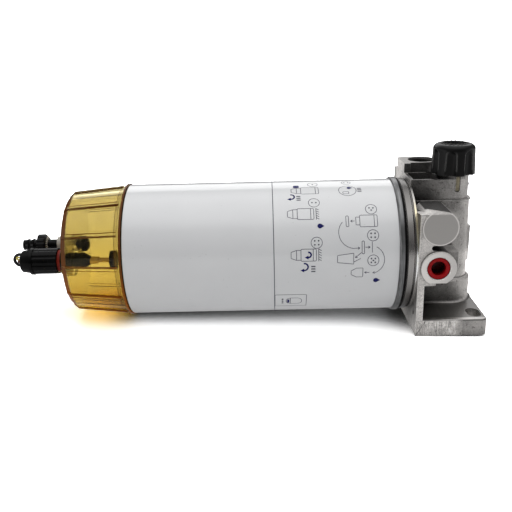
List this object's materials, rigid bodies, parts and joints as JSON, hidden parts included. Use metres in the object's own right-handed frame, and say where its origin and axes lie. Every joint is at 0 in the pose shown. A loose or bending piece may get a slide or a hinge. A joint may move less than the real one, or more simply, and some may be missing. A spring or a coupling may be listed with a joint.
{
  "type": "fuel filter assembly",
  "caption": "Spin-on fuel filter and water separator: white canister, amber bowl with sensor and drain, cast head with hand pump and foot.",
  "frame": {"origin": "midway between the two mounting slots, on the mounting face", "axes": "+X along the canister axis from the bowl towards the head, +Z out of the mounting face towards the pump knob, +Y away from the side with the red plug"},
  "size_m": [0.3845, 0.1155, 0.1446],
  "materials": {
    "cast_aluminium": "cast and machined",
    "zinc_steel": "satin",
    "white_paint": "gloss",
    "grey_steel": "satin",
    "black_rubber": "matt",
    "black_plastic": "satin",
    "knob_plastic": "satin",
    "red_plastic": "gloss",
    "red_rubber": "matt",
    "amber_plastic": "clear gloss",
    "pale_plastic": "matt",
    "yellow_plastic": "gloss",
    "filter_media": "matt",
    "brass": "satin"
  },
  "bodies": {
    "head": {"filter_head": "cast_aluminium", "spigot": "zinc_steel", "pump_bush": "black_plastic", "inlet_valve": "black_plastic"},
    "plug": {"port_plug": "red_plastic"},
    "pump": {"pump_piston": "black_plastic", "pump_seal": "black_rubber", "pump_rod": "zinc_steel"},
    "knob": {"pump_knob": "knob_plastic"},
    "gasket": {"head_gasket": "black_rubber"},
    "canister": {"seam_ring": "grey_steel", "canister_shell": "white_paint", "end_plate": "grey_steel", "upper_cap": "pale_plastic", "lower_cap": "pale_plastic", "pleat_pack": "filter_media", "centre_tube": "pale_plastic", "thread_ring": "grey_steel"},
    "lower_seal": {"bowl_seal": "black_rubber"},
    "bowl": {"water_bowl": "amber_plastic", "sensor_seal": "red_rubber", "sensor_body": "black_plastic", "sensor_sleeve": "black_rubber", "sensor_lead_1": "yellow_plastic", "sensor_lead_2": "red_plastic", "sensor_probe": "black_plastic", "probe_pin_1": "brass", "probe_pin_2": "brass", "probe_head": "black_plastic", "drain_spout": "black_plastic", "drain_nut": "black_plastic", "drain_collar": "pale_plastic"},
    "wheel": {"drain_wheel": "black_plastic"}
  },
  "joints": [
    {"name": "plug_pull", "type": "slide", "parent": "head", "child": "plug", "axis": [0, -1, 0], "range_m": [0, 0.016]},
    {"name": "pump_stroke", "type": "slide", "parent": "head", "child": "pump", "axis": [0, 0, 1], "range_m": [0, 0.03]},
    {"name": "knob_turn", "type": "hinge", "parent": "pump", "child": "knob", "pos_m": [-0.0128, 0, 0.13], "axis": [0, 0, 1], "range_deg": [0, 720]},
    {"name": "canister_travel", "type": "slide", "parent": "head", "child": "gasket", "axis": [-1, 0, 0], "range_m": [0, 0.0131]},
    {"name": "canister_spin", "type": "hinge", "parent": "gasket", "child": "canister", "pos_m": [-0.15, 0, 0.061], "axis": [-1, 0, 0], "range_deg": [0, 2340]},
    {"name": "bowl_travel", "type": "slide", "parent": "canister", "child": "lower_seal", "axis": [-1, 0, 0], "range_m": [0, 0.0111]},
    {"name": "bowl_spin", "type": "hinge", "parent": "lower_seal", "child": "bowl", "pos_m": [-0.28, 0, 0.061], "axis": [-1, 0, 0], "range_deg": [0, 1980]},
    {"name": "drain_turn", "type": "hinge", "parent": "bowl", "child": "wheel", "pos_m": [-0.35735, 0.013, 0.0623], "axis": [-1, 0, 0], "range_deg": [0, 540]}
  ],
  "couplings": [
    {"joint": "canister_travel", "follows": "canister_spin", "m_per_rad": 0.00031831},
    {"joint": "bowl_travel", "follows": "bowl_spin", "m_per_rad": 0.00031831}
  ]
}
